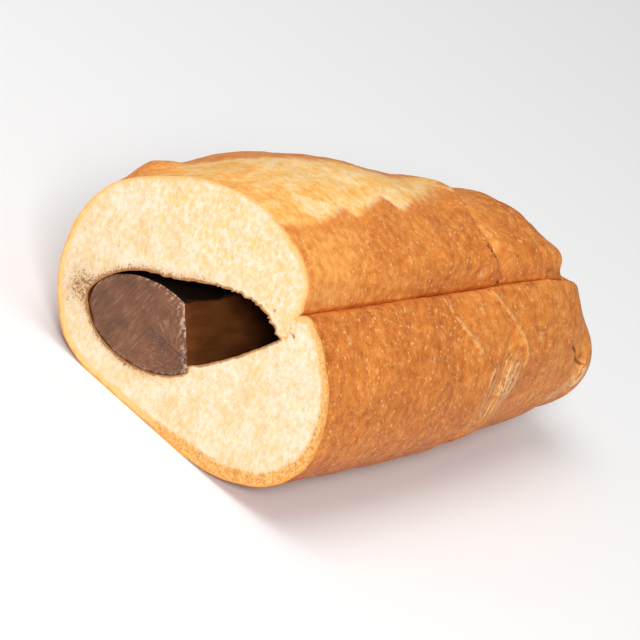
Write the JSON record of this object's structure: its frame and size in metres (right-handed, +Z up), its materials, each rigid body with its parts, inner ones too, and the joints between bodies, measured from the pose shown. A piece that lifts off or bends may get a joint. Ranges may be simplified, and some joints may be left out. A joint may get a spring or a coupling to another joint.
{
  "type": "half of a filled bread roll",
  "caption": "Half of a soft oval bread roll, cut across, with a baked crust, pale crumb and a chocolate bar as filling.",
  "frame": {"origin": "on the flat base, below the centre of the piece's box", "axes": "+Y from the cut face to the baked end, +X across towards the seam, +Z up"},
  "size_m": [0.0596, 0.0996, 0.0433],
  "materials": {
    "crust": "matte baked crust, golden brown, with a cream crumb on the cut face",
    "chocolate": "satin chocolate"
  },
  "bodies": {
    "root": {"bread": "crust", "chocolate_bar": "chocolate"}
  },
  "joints": []
}
